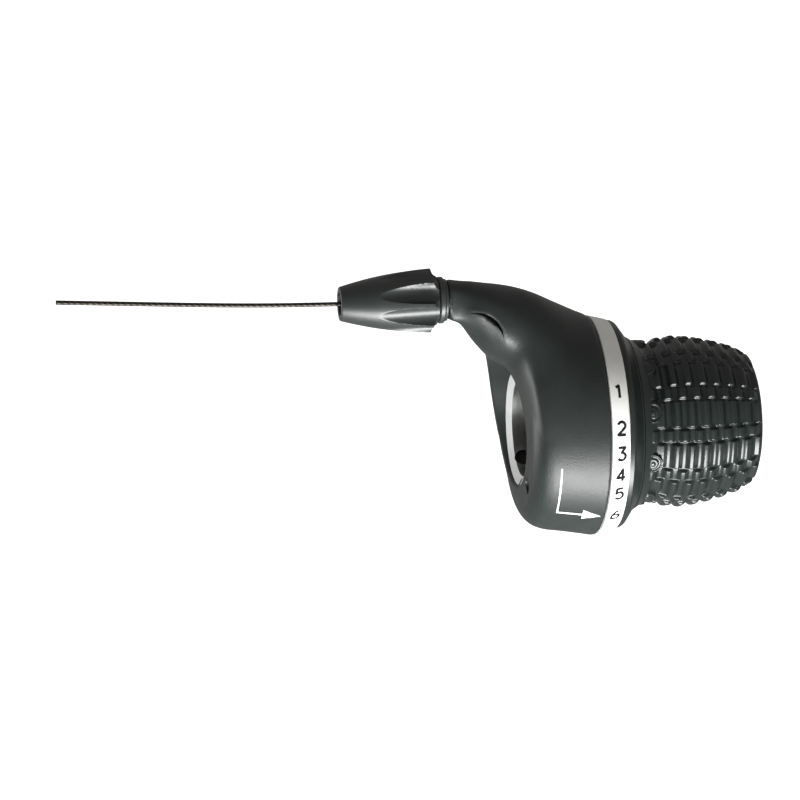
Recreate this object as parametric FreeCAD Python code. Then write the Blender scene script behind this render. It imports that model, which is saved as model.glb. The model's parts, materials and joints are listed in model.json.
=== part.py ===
import FreeCAD, Part
import math
import os

# Bicycle twist shifter: a clamped housing with a cable horn, a rotating grip with a cable
# spool and six detents, a barrel adjuster and the shift wire.
# Millimetres. X runs along the handlebar axis, +X towards the bar's end, +Z up, and -Y is
# the rider's far side, where the wire leaves the spool. X = 0 is the inboard face.

Vector = FreeCAD.Vector
X_AXIS = Vector(1, 0, 0)
ORIGIN = Vector(0, 0, 0)

# Handlebar fit and the fixed sleeve
BORE_R = 11.15
SLEEVE_R = 12.15
RIM_R = 13.125
RIM_LENGTH = 6.9
SLEEVE_END = 54.4
RUNNING_GAP = 0.05
RETAINER_START = 52.35
RETAINER_END = 53.25
RETAINER_IN_R = 11.65

# Housing
FACE_FLAT_R = 18.2
CORNER_X = 6.0
CORNER_R = 23.6
CORNER_CENTRE_X = 6.274
CORNER_CENTRE_R = 17.262
CORNER_ARC_R = 6.344
DRUM_EDGE_X = 16.5
HOUSING_LENGTH = 16.9
SKIN_DEPTH = 0.12
HOUSING_R = 25.4
EDGE_CHAMFER = 0.4
RELIEF_R = 18.925
RELIEF_LENGTH = 10.0
CHAMBER_START = 5.8
CHAMBER_R = 22.2
SCREW_ANGLES = (234.0, 350.0)
SCREW_CIRCLE_R = 16.3
SCREW_HEAD_R = 1.6
SCREW_SHANK_R = 1.0
SCREW_HEAD_START = 2.2
SCREW_HEAD_END = 3.7
FLANGE_END = 7.1
FLANGE_R = 21.9

# Clamp screw, set radially in the housing's inboard wall
CLAMP_ANGLE = 321.0
CLAMP_X = 3.0
CLAMP_R = 2.0
CLAMP_INSERT_R = 2.5

# Wire, spool and cable horn
WIRE_R = 0.5
WIRE_X = 9.55
WRAP_R = 14.2
HORN_Z = 29.7
HORN_MOUTH_R = 4.5
HORN_MOUTH_X = -17.5
HORN_BEND_R = 18.0
GUIDE_R = 1.6
GUIDE_BORE_R = 0.9
WIRE_END_X = -105.3
WRAP_ANGLE = 20.0
ANCHOR_RUN = 5.0
HEAD_R = 2.0
HEAD_LENGTH = 4.0
HEAD_BLOCK_R = 19.6
HEAD_BLOCK_ANGLES = (214, 246)
RECESS_DEPTH_Y = 16.8

# Rotating group
HUB_R = 13.0
SPOOL_START = 7.35
SPOOL_END = 11.75
SPOOL_R = 16.4
DETENT_END = 15.0
DETENT_X = (SPOOL_END + DETENT_END) / 2
DETENT_R = 20.5
GEAR_TURNS = (0.0, 17.0, 29.0, 41.0, 54.0, 73.0)
DETENT_ANGLE = 60.0
NOTCH_R = 1.1
NOSE_R = 1.0
NOSE_CENTRE_R = 20.9
LEAF_IN_R = 21.2
LEAF_OUT_R = 21.6
LEAF_HALF_ANGLE = 28.0
PLATE_R = 21.9
SEAT_START = 17.1
SEAT_R = 22.5
RING_GAP = 0.15
RING_START_R = 25.3
RING_END = 21.4
RING_END_R = 24.3
FLANGE_TOP_R = 24.0
PIN_R = 1.0
PIN_CIRCLE_R = 14.8
PIN_ANGLES = (30, 150, 270)
INNER_WASHER_R = 15.5
RUBBER_START = 25.7
FLANGE_EDGE_R = 20.3
RUBBER_END = 54.7
RUBBER_IN_R = 14.5
CORE_TAPER_X = 48.0
CORE_END = 54.2
CORE_END_R = 13.9
RECESS_START = 51.6
RECESS_R = 13.1

# Barrel adjuster
STEM_R = 2.45
STEM_BORE_R = 1.1
STEM_START_X = -33.2
STEM_END_X = -11.0
INSERT_R = 3.5
INSERT_END_X = -9.7
COLLAR_START_X = -19.7
COLLAR_END_X = -17.7
COLLAR_R = 5.3
BARREL_START_X = -41.9
BARREL_CREST_X = -21.2
BARREL_END_X = -19.85
BARREL_SMALL_R = 3.9
BARREL_LARGE_R = 7.3
BARREL_END_R = 5.5
SOCKET_R = 2.55
SOCKET_END_X = -34.2
FLUTES = 8
FLUTE_R = 2.6
FLUTE_ANGLE = 33.5
FLUTE_START_X = -35.6
FLUTE_START_R = 6.0
FLUTE_END_R = 5.05
END_SLOT = 0.8
SPRING_START_X = -26.4
SPRING_POCKET_R = 4.3
SPRING_R = 3.7
SPRING_WIRE_R = 0.26
SPRING_TURNS = 4

os.makedirs("parts", exist_ok=True)


def export(name, shape):
    """Write one node and print what it holds."""
    shape.exportStep("parts/" + name + ".step")
    print(name, "solids", len(shape.Solids), "valid", shape.isValid(), "volume", round(shape.Volume, 1))


def revolve(points):
    """Turn a closed outline of (x, r) points about the bar axis."""
    outline = Part.makePolygon([Vector(x, 0, r) for x, r in points + points[:1]])
    return Part.Face(outline).revolve(ORIGIN, X_AXIS, 360)


def tube(start, end, inner, outer):
    """A plain ring about the bar axis."""
    return revolve([(start, inner), (end, inner), (end, outer), (start, outer)])


def polar(angle, radius, x=0.0):
    """A point at an angle about +X, measured from +Y towards +Z."""
    turn = math.radians(angle)
    return Vector(x, radius * math.cos(turn), radius * math.sin(turn))


def rod(start, end, radius):
    """A cylinder between two points."""
    return Part.makeCylinder(radius, (end - start).Length, start, end - start)


def sector(x_start, x_end, inner, outer, angle_start, angle_end):
    """A ring sector about the bar axis."""
    middle = (angle_start + angle_end) / 2
    wire = Part.Wire([
        Part.Arc(polar(angle_start, outer), polar(middle, outer), polar(angle_end, outer)).toShape(),
        Part.LineSegment(polar(angle_end, outer), polar(angle_end, inner)).toShape(),
        Part.Arc(polar(angle_end, inner), polar(middle, inner), polar(angle_start, inner)).toShape(),
        Part.LineSegment(polar(angle_start, inner), polar(angle_start, outer)).toShape(),
    ])
    solid = Part.Face(wire).extrude(Vector(x_end - x_start, 0, 0))
    solid.translate(Vector(x_start, 0, 0))
    return solid


def horn_rod(start_x, end_x, radius):
    """A cylinder on the cable horn's axis."""
    return rod(Vector(start_x, -WRAP_R, HORN_Z), Vector(end_x, -WRAP_R, HORN_Z), radius)


def horn_tube(start_x, end_x, inner, outer):
    """A ring on the cable horn's axis."""
    return horn_rod(start_x, end_x, outer).cut(horn_rod(start_x - 1, end_x + 1, inner))


def wire_path(start_z, end_x):
    """The wire's line: up from the spool's tangent point, round the horn's bend, then inboard."""
    bend_z = HORN_Z - HORN_BEND_R
    bend_x = WIRE_X - HORN_BEND_R
    foot = Vector(WIRE_X, -WRAP_R, start_z)
    rise = Vector(WIRE_X, -WRAP_R, bend_z)
    half = HORN_BEND_R * math.sqrt(0.5)
    knee = Vector(bend_x + half, -WRAP_R, bend_z + half)
    crest = Vector(bend_x, -WRAP_R, HORN_Z)
    edges = [Part.Arc(rise, knee, crest).toShape()]
    if start_z < bend_z:
        edges.insert(0, Part.LineSegment(foot, rise).toShape())
    if end_x < bend_x:
        edges.append(Part.LineSegment(crest, Vector(end_x, -WRAP_R, HORN_Z)).toShape())
    return Part.Wire(edges)


def pipe(path, radius):
    """A round tube's outer solid along a path that starts vertical."""
    start = path.OrderedVertexes[0].Point
    circle = Part.Wire(Part.makeCircle(radius, start, Vector(0, 0, 1)))
    return path.makePipeShell([circle], True, True)


def drum_radius(x):
    """The drum's outer radius, from its face's edge over the rounded corner to its slow taper."""
    if x >= CORNER_X:
        return CORNER_R + (x - CORNER_X) * (HOUSING_R - CORNER_R) / (DRUM_EDGE_X - CORNER_X)
    return CORNER_CENTRE_R + math.sqrt(CORNER_ARC_R ** 2 - (CORNER_CENTRE_X - x) ** 2)


def horn_section(x, points):
    """A closed smooth outline through (y, z) points in the plane at x."""
    curve = Part.BSplineCurve()
    curve.interpolate(Points=[Vector(x, y, z) for y, z in points], PeriodicFlag=True)
    return Part.Wire(curve.toShape())


def merged_section(x, raised, far_top):
    """An outline through raised near-side points which then follows the drum, just under its skin."""
    radius = drum_radius(x) - SKIN_DEPTH
    sunk = [polar(angle, radius) for angle in (188, 262, 315, 360)]
    return horn_section(x, raised + [(point.y, point.z) for point in sunk] + [far_top])


def round_section(x, y, z, radius):
    """A round outline with its points in the same order as the horn's sections."""
    steps = [math.radians(90 + 45 * k) for k in range(8)]
    return horn_section(x, [(y + radius * math.cos(turn), z + radius * math.sin(turn)) for turn in steps])


def horn_blank():
    """The solid horn, from its round mouth to where it has merged into the drum."""
    sections = [
        round_section(HORN_MOUTH_X, -WRAP_R, HORN_Z, HORN_MOUTH_R),
        # each from the top over the near side, the underside and the far side
        horn_section(-13.0, [(-13.6, 34.1), (-17.2, 32.9), (-19.2, 30.2), (-18.2, 25.2),
                             (-12.5, 22.2), (-8.6, 23.7), (-7.2, 28.2), (-9.4, 32.6)]),
        horn_section(-9.0, [(-12.5, 33.6), (-16.8, 32.3), (-19.5, 29.3), (-18.5, 22.0),
                            (-10.5, 17.8), (-4.5, 19.5), (-2.5, 26.0), (-6.0, 31.6)]),
        horn_section(-5.0, [(-11.0, 33.1), (-16.2, 31.1), (-19.7, 27.0), (-18.0, 18.6),
                            (-4.0, 14.8), (7.0, 15.0), (9.5, 21.0), (2.0, 29.6)]),
        horn_section(-2.5, [(-8.0, 32.5), (-15.8, 30.6), (-19.8, 22.8), (-17.0, 16.0),
                            (0.0, 10.5), (13.8, 3.8), (16.5, 11.0), (9.0, 25.0)]),
        horn_section(0.0, [(-6.5, 31.9), (-15.8, 29.4), (-20.3, 16.5), (-18.2, 3.5),
                           (-2.5, -17.6), (12.6, -12.6), (18.0, 1.0), (13.8, 21.2)]),
        merged_section(1.5, [(-6.2, 31.6), (-15.9, 28.8), (-21.0, 15.0)], (15.8, 20.2)),
        merged_section(4.0, [(-5.0, 30.8), (-15.9, 27.3), (-21.9, 12.6)], (16.6, 18.8)),
        merged_section(9.0, [(-3.0, 28.9), (-15.6, 23.4), (-22.6, 10.8)], (17.0, 17.8)),
        merged_section(14.0, [(-1.0, 26.7), (-16.0, 20.6), (-23.5, 9.2)], (17.6, 17.9)),
        round_section(DRUM_EDGE_X, 0.0, 0.0, HOUSING_R - SKIN_DEPTH),
    ]
    return Part.makeLoft(sections, True, False)


def housing_shell():
    """Rounded drum and cable horn in one moulding, hollowed for the spool and the wire."""
    edges = [
        Part.LineSegment(Vector(0, 0, 5), Vector(0, 0, FACE_FLAT_R)).toShape(),
        Part.Arc(Vector(0, 0, FACE_FLAT_R), Vector(2.0, 0, 21.95),
                 Vector(CORNER_X, 0, CORNER_R)).toShape(),
        Part.LineSegment(Vector(CORNER_X, 0, CORNER_R), Vector(DRUM_EDGE_X, 0, HOUSING_R)).toShape(),
        Part.LineSegment(Vector(DRUM_EDGE_X, 0, HOUSING_R),
                         Vector(HOUSING_LENGTH, 0, HOUSING_R - EDGE_CHAMFER)).toShape(),
        Part.LineSegment(Vector(HOUSING_LENGTH, 0, HOUSING_R - EDGE_CHAMFER),
                         Vector(HOUSING_LENGTH, 0, 5)).toShape(),
        Part.LineSegment(Vector(HOUSING_LENGTH, 0, 5), Vector(0, 0, 5)).toShape(),
    ]
    drum = Part.Face(Part.Wire(edges)).revolve(ORIGIN, X_AXIS, 360)
    shell = drum.fuse(horn_blank())
    cuts = [
        rod(Vector(-30, 0, 0), Vector(30, 0, 0), RIM_R),
        Part.makeCone(RELIEF_R, RIM_R + 0.1, RELIEF_LENGTH, Vector(-RELIEF_LENGTH, 0, 0), X_AXIS),
        rod(Vector(CHAMBER_START, 0, 0), Vector(HOUSING_LENGTH + 1, 0, 0), CHAMBER_R),
        rod(Vector(HOUSING_LENGTH, 0, 0), Vector(40, 0, 0), 40),
        pipe(wire_path(0.0, HORN_MOUTH_X + 6), GUIDE_R),
        horn_rod(HORN_MOUTH_X - 1, INSERT_END_X, INSERT_R),
        rod(polar(CLAMP_ANGLE, 10, CLAMP_X), polar(CLAMP_ANGLE, 40, CLAMP_X), CLAMP_INSERT_R),
    ]
    for angle in SCREW_ANGLES:
        counterbore_end = polar(angle, SCREW_CIRCLE_R, SCREW_HEAD_END)
        hole_end = polar(angle, SCREW_CIRCLE_R, CHAMBER_START + 1)
        cuts.append(rod(polar(angle, SCREW_CIRCLE_R, -12), counterbore_end, SCREW_HEAD_R + 0.1))
        cuts.append(rod(polar(angle, SCREW_CIRCLE_R, 0), hole_end, SCREW_SHANK_R))
    cuts.append(access_recess())
    for cut in cuts:
        shell = shell.cut(cut)
    for seat in spring_seats():
        shell = shell.fuse(seat)
    return shell


def clamp_sleeve():
    """The metal tube on the handlebar, with its inboard rim, screw hole and ring groove."""
    sleeve = revolve([(0, BORE_R), (SLEEVE_END, BORE_R), (SLEEVE_END, SLEEVE_R),
                      (RIM_LENGTH, SLEEVE_R), (RIM_LENGTH, RIM_R), (0, RIM_R)])
    groove = tube(RETAINER_START, RETAINER_END, RETAINER_IN_R, SLEEVE_R + 1)
    screw_hole = rod(polar(CLAMP_ANGLE, 8, CLAMP_X), polar(CLAMP_ANGLE, 20, CLAMP_X), CLAMP_R + 0.1)
    rim_notch = Part.makeBox(1.4, 1.4, 2.0, Vector(0, -0.7, -RIM_R - 0.6))
    return sleeve.cut(groove).cut(screw_hole).cut(rim_notch)


def sleeve_flange():
    """The steel plate pressed on the sleeve, which the housing screws hold."""
    plate = tube(CHAMBER_START, FLANGE_END, RIM_R, FLANGE_R)
    for angle in SCREW_ANGLES:
        hole_end = polar(angle, SCREW_CIRCLE_R, 20)
        plate = plate.cut(rod(polar(angle, SCREW_CIRCLE_R, 0), hole_end, SCREW_SHANK_R))
    lead = Part.makeBox(FLANGE_END + 1, 4.8, 20.0, Vector(0, -WRAP_R - 2.4, 5.0))
    return plate.cut(lead)


def housing_screws():
    """Recessed screws from the inboard face into the sleeve's flange."""
    screws = []
    for angle in SCREW_ANGLES:
        head = rod(polar(angle, SCREW_CIRCLE_R, SCREW_HEAD_START),
                   polar(angle, SCREW_CIRCLE_R, SCREW_HEAD_END), SCREW_HEAD_R)
        shank = rod(polar(angle, SCREW_CIRCLE_R, SCREW_HEAD_START + 0.5),
                    polar(angle, SCREW_CIRCLE_R, FLANGE_END), SCREW_SHANK_R)
        screw = head.fuse(shank)
        for turn in (0, 90):
            slot = Part.makeBox(0.5, 2.0, 0.4, Vector(-0.01, -1.0, -0.2))
            slot.rotate(ORIGIN, X_AXIS, turn)
            slot.translate(polar(angle, SCREW_CIRCLE_R, SCREW_HEAD_START))
            screw = screw.cut(slot)
        screws.append(screw.removeSplitter())
    return Part.makeCompound(screws)


def clamp_screw():
    """Socket-head grub screw, backed off clear of the handlebar."""
    screw = rod(polar(CLAMP_ANGLE, BORE_R + 0.35, CLAMP_X), polar(CLAMP_ANGLE, 20.0, CLAMP_X), CLAMP_R)
    socket = Part.makePolygon([Vector(1.15 * math.cos(k * math.pi / 3), 1.15 * math.sin(k * math.pi / 3), 0)
                               for k in range(7)])
    socket = Part.Face(socket).extrude(Vector(0, 0, 3))
    socket.Placement = FreeCAD.Placement(polar(CLAMP_ANGLE, 17.5, CLAMP_X),
                                         FreeCAD.Rotation(Vector(0, 0, 1), polar(CLAMP_ANGLE, 1)))
    return screw.cut(socket)


def clamp_insert():
    """Threaded brass bush moulded into the housing round the grub screw."""
    outer = rod(polar(CLAMP_ANGLE, 14.0, CLAMP_X), polar(CLAMP_ANGLE, 20.5, CLAMP_X), CLAMP_INSERT_R)
    return outer.cut(rod(polar(CLAMP_ANGLE, 5, CLAMP_X), polar(CLAMP_ANGLE, 30, CLAMP_X), CLAMP_R))


def cable_guide():
    """The plastic liner round the horn's bend."""
    path = wire_path(HORN_Z - HORN_BEND_R, INSERT_END_X)
    return pipe(path, GUIDE_R).cut(pipe(path, GUIDE_BORE_R))


def detent_spring():
    """Leaf spring with a nose that drops into the detent ring's notches."""
    leaf = sector(DETENT_X - 1.5, DETENT_X + 1.5, LEAF_IN_R, LEAF_OUT_R,
                  DETENT_ANGLE - LEAF_HALF_ANGLE, DETENT_ANGLE + LEAF_HALF_ANGLE)
    nose_start = polar(DETENT_ANGLE, NOSE_CENTRE_R, DETENT_X - 1.5)
    nose_end = polar(DETENT_ANGLE, NOSE_CENTRE_R, DETENT_X + 1.5)
    nose = rod(nose_start, nose_end, NOSE_R)
    below = sector(DETENT_X - 2, DETENT_X + 2, DETENT_R - 3, LEAF_IN_R + 0.01,
                   DETENT_ANGLE - 10, DETENT_ANGLE + 10)
    hollow = rod(nose_start - X_AXIS, nose_end + X_AXIS, NOSE_R - 0.4)
    return leaf.fuse(nose.common(below)).cut(hollow).removeSplitter()


def spring_seats():
    """The two slotted bosses in the housing that hold the leaf spring's ends."""
    seats = []
    for side in (-1, 1):
        centre = DETENT_ANGLE + side * (LEAF_HALF_ANGLE - 2)
        boss = sector(DETENT_X - 1.5, DETENT_X + 1.5, DETENT_R + 0.4, CHAMBER_R + 0.3,
                      centre - 3.5, centre + 3.5)
        slot = sector(DETENT_X - 2, DETENT_X + 2, LEAF_IN_R - 0.02, LEAF_OUT_R + 0.02,
                      DETENT_ANGLE - LEAF_HALF_ANGLE, DETENT_ANGLE + LEAF_HALF_ANGLE)
        seats.append(boss.cut(slot))
    return seats


def thrust_washer(start, end, outer):
    """A thin nylon ring on the sleeve."""
    return tube(start, end, SLEEVE_R + 0.02, outer)


def retaining_ring():
    """Open spring ring in the sleeve's groove."""
    return sector(RETAINER_START + 0.05, RETAINER_END - 0.05, RETAINER_IN_R, RECESS_R - 0.3, -155, 155)


def grip_core():
    """The rotating carrier: hub, drive plate, number-ring seat, flange and grip tube."""
    core = revolve([
        (SPOOL_START, SLEEVE_R + RUNNING_GAP), (RECESS_START, SLEEVE_R + RUNNING_GAP),
        (RECESS_START, RECESS_R), (CORE_END, RECESS_R), (CORE_END, CORE_END_R),
        (CORE_TAPER_X, RUBBER_IN_R), (RUBBER_START, RUBBER_IN_R), (RUBBER_START, FLANGE_EDGE_R - 0.25),
        (RUBBER_START - 0.4, FLANGE_EDGE_R), (RING_END + 1.5, FLANGE_TOP_R - 0.3),
        (RING_END + 1.0, FLANGE_TOP_R), (RING_END, FLANGE_TOP_R), (RING_END, SEAT_R), (SEAT_START, SEAT_R),
        (SEAT_START, PLATE_R), (DETENT_END, PLATE_R), (DETENT_END, HUB_R), (SPOOL_START, HUB_R)])
    return core.cut(Part.makeCompound(pin_rods(DETENT_END - 1, DETENT_END + 2)))


def pin_rods(start, end):
    """Rods on the three drive pins' axes."""
    return [rod(polar(angle, PIN_CIRCLE_R, start), polar(angle, PIN_CIRCLE_R, end), PIN_R)
            for angle in PIN_ANGLES]


def anchor_frame():
    """The wire's straight run from the groove to its head: foot, direction and head start."""
    leave = polar(180 + WRAP_ANGLE, WRAP_R, WIRE_X)
    direction = polar(270 + WRAP_ANGLE, 1)
    return leave, direction, leave + direction * ANCHOR_RUN


def cable_spool():
    """Grooved drum with a pocket for the wire's head."""
    floor_r = WRAP_R - WIRE_R - 0.05
    spool = revolve([(SPOOL_START, HUB_R), (SPOOL_END, HUB_R), (SPOOL_END, SPOOL_R), (WIRE_X + 1.0, SPOOL_R),
                     (WIRE_X + WIRE_R + 0.1, floor_r), (WIRE_X - WIRE_R - 0.1, floor_r),
                     (WIRE_X - 1.0, SPOOL_R), (SPOOL_START, SPOOL_R)])
    leave, direction, head_start = anchor_frame()
    block = sector(SPOOL_START, SPOOL_END, HUB_R, HEAD_BLOCK_R, *HEAD_BLOCK_ANGLES)
    spool = spool.fuse(block)
    pocket_end = head_start + direction * (HEAD_LENGTH + 0.1)
    spool = spool.cut(rod(head_start - direction * 0.05, pocket_end, HEAD_R + 0.05))
    spool = spool.cut(rod(leave, head_start, WIRE_R + 0.15))
    return spool.cut(Part.makeCompound(pin_rods(WIRE_X + 1.2, SPOOL_END + 1))).removeSplitter()


def detent_ring():
    """Ring with one notch for each gear."""
    ring = tube(SPOOL_END, DETENT_END, HUB_R, DETENT_R)
    for turn in GEAR_TURNS:
        angle = DETENT_ANGLE - turn
        ring = ring.cut(rod(polar(angle, NOSE_CENTRE_R, 0), polar(angle, NOSE_CENTRE_R, 30), NOTCH_R))
    return ring.cut(Part.makeCompound(pin_rods(SPOOL_END - 1, DETENT_END + 1)))


def drive_pins():
    """Three pins that lock the spool and detent ring to the grip's plate."""
    return Part.makeCompound(pin_rods(WIRE_X + 1.2, DETENT_END + 2))


def indicator_ring():
    """The printed gear-number ring on the grip."""
    start = HOUSING_LENGTH + RING_GAP
    return revolve([(start, SEAT_R), (RING_END, SEAT_R), (RING_END, RING_END_R),
                    (start + 0.25, RING_START_R), (start, RING_START_R - 0.2)])


def grip_rubber():
    """Soft sleeve over the grip tube, without its tread."""
    return revolve([(RUBBER_START + 0.1, RUBBER_IN_R), (CORE_TAPER_X, RUBBER_IN_R), (CORE_END, CORE_END_R),
                    (CORE_END, RECESS_R), (RUBBER_END, RECESS_R), (RUBBER_END, 14.2), (54.2, 15.2),
                    (52.5, 16.2), (50.7, 16.9), (46.5, 18.1), (41.5, 19.2), (37.0, 19.7), (33.0, 19.2),
                    (29.6, 18.2), (RUBBER_START + 0.1, FLANGE_EDGE_R - 0.4)])


def wrapped_wire():
    """The wire from the tangent point round the groove and on to its head."""
    leave, direction, head_start = anchor_frame()
    foot = polar(180, WRAP_R, WIRE_X)
    arc = Part.Arc(foot, polar(180 + WRAP_ANGLE / 2, WRAP_R, WIRE_X), leave).toShape()
    path = Part.Wire([arc, Part.LineSegment(leave, head_start).toShape()])
    circle = Part.Wire(Part.makeCircle(WIRE_R, foot, Vector(0, 0, 1)))
    return path.makePipeShell([circle], True, True)


def cable_head():
    """The cast barrel on the wire's end."""
    leave, direction, head_start = anchor_frame()
    return rod(head_start, head_start + direction * HEAD_LENGTH, HEAD_R)


def barrel_adjuster():
    """Fluted knob with a socket for the cable casing."""
    outline = [
        Part.LineSegment(Vector(BARREL_START_X, 0, 0),
                         Vector(BARREL_START_X, 0, BARREL_SMALL_R - 0.2)).toShape(),
        Part.LineSegment(Vector(BARREL_START_X, 0, BARREL_SMALL_R - 0.2),
                         Vector(BARREL_START_X + 0.2, 0, BARREL_SMALL_R)).toShape(),
        Part.Arc(Vector(BARREL_START_X + 0.2, 0, BARREL_SMALL_R), Vector(-32.1, 0, 6.05),
                 Vector(BARREL_CREST_X, 0, BARREL_LARGE_R)).toShape(),
        Part.Arc(Vector(BARREL_CREST_X, 0, BARREL_LARGE_R), Vector(BARREL_CREST_X + 0.5, 0, 6.1),
                 Vector(BARREL_END_X, 0, BARREL_END_R)).toShape(),
        Part.LineSegment(Vector(BARREL_END_X, 0, BARREL_END_R), Vector(BARREL_END_X, 0, 0)).toShape(),
        Part.LineSegment(Vector(BARREL_END_X, 0, 0), Vector(BARREL_START_X, 0, 0)).toShape(),
    ]
    knob = Part.Face(Part.Wire(outline)).revolve(ORIGIN, X_AXIS, 360)
    for flute in range(FLUTES):
        angle = FLUTE_ANGLE + flute * 360 / FLUTES
        scoop_end = polar(angle, FLUTE_END_R + FLUTE_R, BARREL_END_X + 1)
        knob = knob.cut(rod(polar(angle, FLUTE_START_R + FLUTE_R, FLUTE_START_X), scoop_end, FLUTE_R))
    knob.translate(Vector(0, -WRAP_R, HORN_Z))
    knob = knob.cut(horn_rod(BARREL_START_X - 1, SOCKET_END_X, SOCKET_R))
    knob = knob.cut(horn_rod(BARREL_START_X - 1, STEM_START_X + 1, STEM_BORE_R))
    knob = knob.cut(horn_rod(STEM_START_X, BARREL_END_X + 1, STEM_R))
    slot = Part.makeBox(END_SLOT, 20.0, END_SLOT,
                        Vector(BARREL_START_X, -WRAP_R - 10.0, HORN_Z - 0.5 - END_SLOT))
    return knob.cut(horn_rod(SPRING_START_X, BARREL_END_X + 1, SPRING_POCKET_R)).cut(slot)


def adjuster_stem():
    """Hollow threaded stem, fixed in the barrel and turning in the horn's insert."""
    return horn_tube(STEM_START_X, STEM_END_X, STEM_BORE_R, STEM_R)


def click_collar():
    """Ring between the barrel and the horn, which slides but doesn't turn."""
    ring = revolve([(COLLAR_START_X, STEM_R + 0.1), (COLLAR_END_X, STEM_R + 0.1),
                    (COLLAR_END_X, COLLAR_R - 0.4), (COLLAR_END_X - 0.4, COLLAR_R),
                    (COLLAR_START_X + 0.4, COLLAR_R), (COLLAR_START_X, COLLAR_R - 0.4)])
    ring.translate(Vector(0, -WRAP_R, HORN_Z))
    return ring


def adjuster_spring():
    """Square-wire compression spring between the barrel's pocket and the collar."""
    half = SPRING_WIRE_R
    length = COLLAR_START_X - SPRING_START_X - 2 * half
    helix = Part.makeHelix(length / SPRING_TURNS, length, SPRING_R)
    corners = [(-half, -half), (half, -half), (half, half), (-half, half), (-half, -half)]
    section = Part.makePolygon([Vector(SPRING_R + across, 0, along) for across, along in corners])
    coil = Part.Wire(helix.Edges).makePipeShell([section], True, True)
    coil.Placement = FreeCAD.Placement(Vector(SPRING_START_X + SPRING_WIRE_R, -WRAP_R, HORN_Z),
                                       FreeCAD.Rotation(Vector(0, 0, 1), X_AXIS))
    return coil


def access_recess():
    """Crescent recess on the horn's front, beside the wire's bend."""
    tip = Vector(-13.0, -40, 26.2)
    heel = Vector(-5.7, -40, 20.5)
    wire = Part.Wire([
        Part.Arc(tip, Vector(-8.2, -40, 25.1), heel).toShape(),
        Part.Arc(heel, Vector(-8.6, -40, 24.6), tip).toShape(),
    ])
    return Part.Face(wire).extrude(Vector(0, 40 - RECESS_DEPTH_Y, 0))


export("housing_shell", housing_shell())
export("clamp_sleeve", clamp_sleeve())
export("sleeve_flange", sleeve_flange())
export("housing_screws", housing_screws())
export("clamp_screw", clamp_screw())
export("clamp_insert", clamp_insert())
export("cable_guide", cable_guide())
export("adjuster_insert", horn_tube(HORN_MOUTH_X, INSERT_END_X, STEM_R + RUNNING_GAP, INSERT_R))
export("detent_spring", detent_spring())
export("inner_thrust_washer", thrust_washer(FLANGE_END + 0.02, SPOOL_START - 0.03, INNER_WASHER_R))
export("outer_thrust_washer", thrust_washer(RECESS_START + 0.05, RETAINER_START, RECESS_R - 0.1))
export("retaining_ring", retaining_ring())
export("inner_wire_guided", pipe(wire_path(0.0, BARREL_START_X), WIRE_R))
export("grip_core", grip_core())
export("cable_spool", cable_spool())
export("detent_ring", detent_ring())
export("drive_pins", drive_pins())
export("indicator_ring", indicator_ring())
export("grip_rubber", grip_rubber())
export("inner_wire_wrapped", wrapped_wire())
export("cable_head", cable_head())
export("inner_wire_free", horn_rod(WIRE_END_X, BARREL_START_X, WIRE_R))
export("barrel_adjuster", barrel_adjuster())
export("adjuster_stem", adjuster_stem())
export("click_collar", click_collar())
export("adjuster_spring", adjuster_spring())
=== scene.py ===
import json
import math

import bmesh
import bpy
import numpy as np
from mathutils import Matrix, Vector


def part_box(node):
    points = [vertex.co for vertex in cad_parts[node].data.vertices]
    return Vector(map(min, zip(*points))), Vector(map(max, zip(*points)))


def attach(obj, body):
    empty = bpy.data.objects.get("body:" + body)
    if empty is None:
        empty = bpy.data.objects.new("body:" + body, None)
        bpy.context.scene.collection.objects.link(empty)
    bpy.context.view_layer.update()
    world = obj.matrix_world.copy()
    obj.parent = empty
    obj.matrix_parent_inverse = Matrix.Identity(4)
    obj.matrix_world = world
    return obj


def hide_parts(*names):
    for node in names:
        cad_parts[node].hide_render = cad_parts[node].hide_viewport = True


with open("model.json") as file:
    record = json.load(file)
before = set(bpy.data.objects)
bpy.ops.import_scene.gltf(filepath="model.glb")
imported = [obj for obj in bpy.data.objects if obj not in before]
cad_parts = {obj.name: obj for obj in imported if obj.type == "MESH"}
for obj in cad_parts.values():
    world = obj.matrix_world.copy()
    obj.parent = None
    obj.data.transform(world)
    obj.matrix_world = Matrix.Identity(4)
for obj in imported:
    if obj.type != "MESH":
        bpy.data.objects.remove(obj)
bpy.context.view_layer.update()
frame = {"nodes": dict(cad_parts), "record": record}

MM = 0.001
NODES = frame["nodes"]
Z = Vector((0, 0, 1))

# Places taken from the frame, in metres
SHELL_LOW, SHELL_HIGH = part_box("housing_shell")
RING_LOW, RING_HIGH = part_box("indicator_ring")
BARREL_LOW, BARREL_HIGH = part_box("barrel_adjuster")
COLLAR_LOW, COLLAR_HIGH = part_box("click_collar")
WIRE_LOW, WIRE_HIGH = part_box("inner_wire_free")
HORN_Y = (BARREL_LOW[1] + BARREL_HIGH[1]) / 2
HORN_Z = (BARREL_LOW[2] + BARREL_HIGH[2]) / 2
HOUSING_END = SHELL_HIGH[0]


# ---------------------------------------------------------------- mesh helpers

def mesh_piece(name, vertices, faces, body, smooth_angle=35.0):
    """A mesh object in metres that rides on a CAD body."""
    mesh = bpy.data.meshes.new(name)
    mesh.from_pydata([tuple(v) for v in vertices], [], faces)
    mesh.validate()
    piece = bpy.data.objects.new(name, mesh)
    bpy.context.scene.collection.objects.link(piece)
    shade(piece, smooth_angle)
    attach(piece, body)
    return piece


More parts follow.
